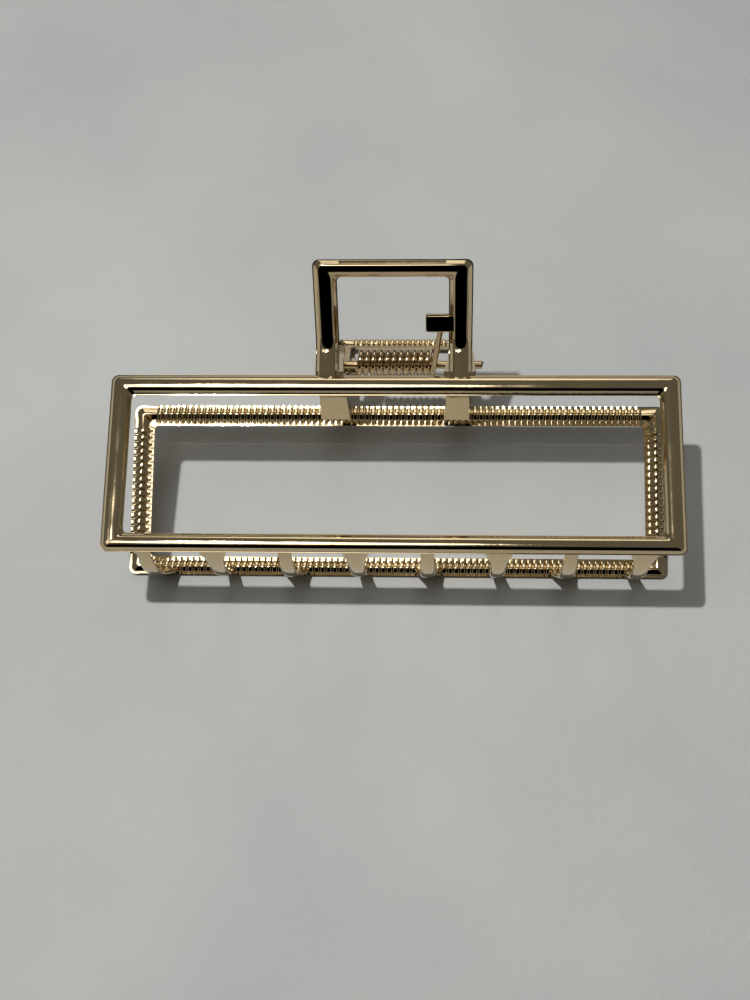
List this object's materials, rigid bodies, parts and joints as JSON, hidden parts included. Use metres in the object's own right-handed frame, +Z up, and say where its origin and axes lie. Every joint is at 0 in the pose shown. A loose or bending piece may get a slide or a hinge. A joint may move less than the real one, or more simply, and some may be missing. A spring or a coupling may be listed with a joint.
{
  "type": "claw clip",
  "caption": "Large rectangular metal claw clip for hair, with two open frame jaws, interlocking curved teeth, finger loops and a sprung hinge.",
  "frame": {"origin": "centre of the bottom of the bounding box, on the surface that the closed clip lies on", "axes": "+X along the clip and its hinge pin, +Y from the teeth towards the finger loops, +Z up, away from the surface, on the side of the upper jaw"},
  "size_m": [0.1056, 0.0578, 0.045],
  "materials": {
    "jaw_plating": "mirror-polished pale gold plating on a zinc casting",
    "pin_plating": "polished pale gold plating on a steel pin with cut ends",
    "spring_plating": "bright gold plating on round spring wire"
  },
  "bodies": {
    "lower_jaw": {"back_jaw": "jaw_plating", "hinge_pin": "pin_plating", "torsion_spring": "spring_plating"},
    "upper_jaw": {"front_jaw": "jaw_plating"}
  },
  "joints": [
    {"name": "jaw_hinge", "type": "hinge", "parent": "lower_jaw", "child": "upper_jaw", "pos_m": [0, 0.01218, 0.02039], "axis": [-1, 0, 0], "range_deg": [0, 60], "stiffness_Nm_per_rad": 0.08, "springref_deg": -68.75, "deforming": ["torsion_spring"]}
  ]
}
